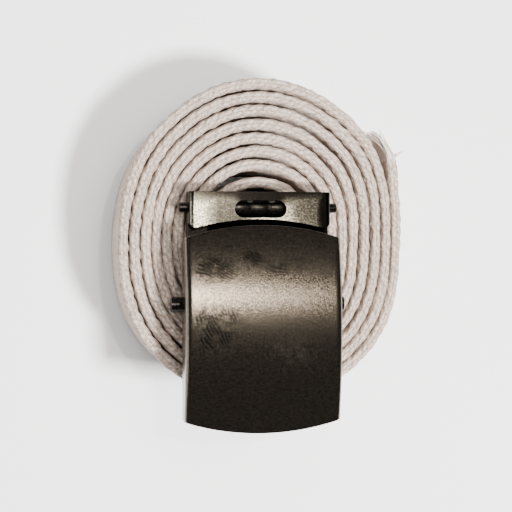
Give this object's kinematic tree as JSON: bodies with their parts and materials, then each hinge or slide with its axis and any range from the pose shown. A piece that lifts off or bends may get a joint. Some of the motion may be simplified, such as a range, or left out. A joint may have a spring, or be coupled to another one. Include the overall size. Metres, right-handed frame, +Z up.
{
  "type": "canvas web belt",
  "caption": "Cotton canvas web belt rolled up on its edge, with a blackened metal slide buckle lying loose on top of the roll.",
  "frame": {"origin": "on the ground, under the middle of the whole object's box", "axes": "+Z up through the roll, +Y from the buckle's tail to its clamp end, +X across the buckle"},
  "size_m": [0.0742, 0.09, 0.0469],
  "materials": {
    "cotton_webbing": "matte woven cotton",
    "blackened_plate": "satin blackened",
    "blackened_channel": "satin blackened",
    "blackened_bar": "satin blackened"
  },
  "bodies": {
    "belt": {"webbing": "cotton_webbing", "face_plate": "blackened_plate", "box_channel": "blackened_channel", "jaw_pin": "blackened_bar"},
    "bar": {"slide_bar": "blackened_bar"},
    "jaw": {"clamp_jaw": "blackened_bar"}
  },
  "joints": [
    {"name": "bar_slide", "type": "slide", "parent": "belt", "child": "bar", "axis": [0, 1, 0], "range_m": [-0.0035, 0.0035]},
    {"name": "jaw_hinge", "type": "hinge", "parent": "belt", "child": "jaw", "pos_m": [-0.00196, 0.01157, 0.03565], "axis": [-1, 0, 0], "range_deg": [0, 50]}
  ]
}
